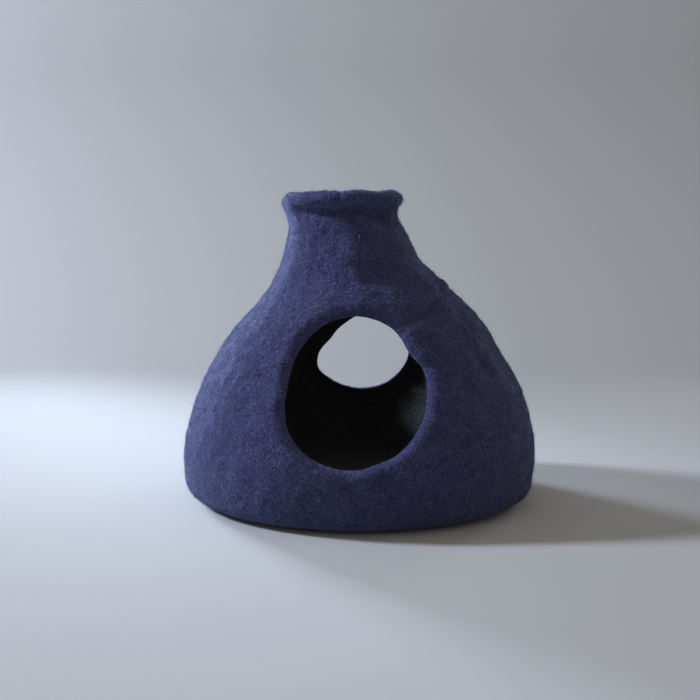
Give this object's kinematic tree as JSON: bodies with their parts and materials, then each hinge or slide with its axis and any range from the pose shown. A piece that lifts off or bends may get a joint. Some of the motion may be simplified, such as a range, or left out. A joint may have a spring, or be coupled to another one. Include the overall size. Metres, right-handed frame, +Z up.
{
  "type": "felt cat cave",
  "caption": "One-piece jug-shaped cat cave of thick wool felt, with a round front entrance, a back opening and a rolled collar round its open neck.",
  "frame": {"origin": "middle of the flat underside, at floor level", "axes": "+Z up through the neck; -Y out through the front entrance; +X to the right as seen from the front"},
  "size_m": [0.4934, 0.4776, 0.4327],
  "materials": {
    "wool_felt": "matte"
  },
  "bodies": {
    "root": {"felt_shell": "wool_felt"}
  },
  "joints": []
}
